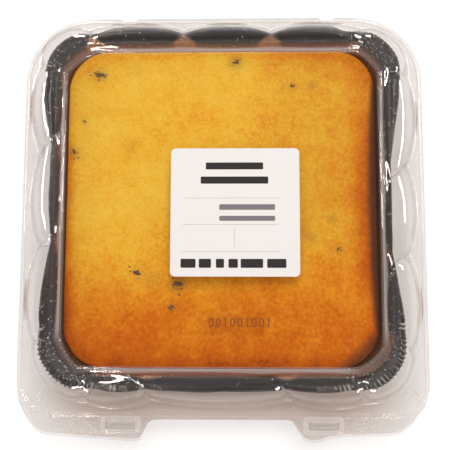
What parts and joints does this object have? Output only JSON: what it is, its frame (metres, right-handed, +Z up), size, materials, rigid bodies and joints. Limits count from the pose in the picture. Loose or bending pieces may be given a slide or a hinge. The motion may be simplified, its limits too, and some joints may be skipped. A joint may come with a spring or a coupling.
{
  "type": "packaged cornbread square",
  "caption": "Square cornbread in a black foil baking tray, shut in a clear hinged clamshell with scalloped walls, front grip tabs and a plain white label.",
  "frame": {"origin": "on the supporting surface, under the middle of the pack's bounding box", "axes": "+Z up, -Y towards the front grip tabs, +Y towards the hinge, +X to the right seen from the front"},
  "size_m": [0.2116, 0.223, 0.0475],
  "materials": {
    "clear_plastic": "clear thermoformed sheet, glossy",
    "black_foil": "black lacquered aluminium foil, satin gloss",
    "cornbread": "golden baked crust, browner at the edges, with dark green flecks",
    "label_paper": "smooth coated white label with plain dark and grey bars"
  },
  "bodies": {
    "base": {"clear_base": "clear_plastic", "foil_tray": "black_foil", "cornbread": "cornbread"},
    "lid": {"clear_lid": "clear_plastic", "label": "label_paper"}
  },
  "joints": [
    {"name": "lid_hinge", "type": "hinge", "parent": "base", "child": "lid", "pos_m": [0, 0.11163, 0.02718], "axis": [-1, 0, 0], "range_deg": [0, 180]}
  ]
}
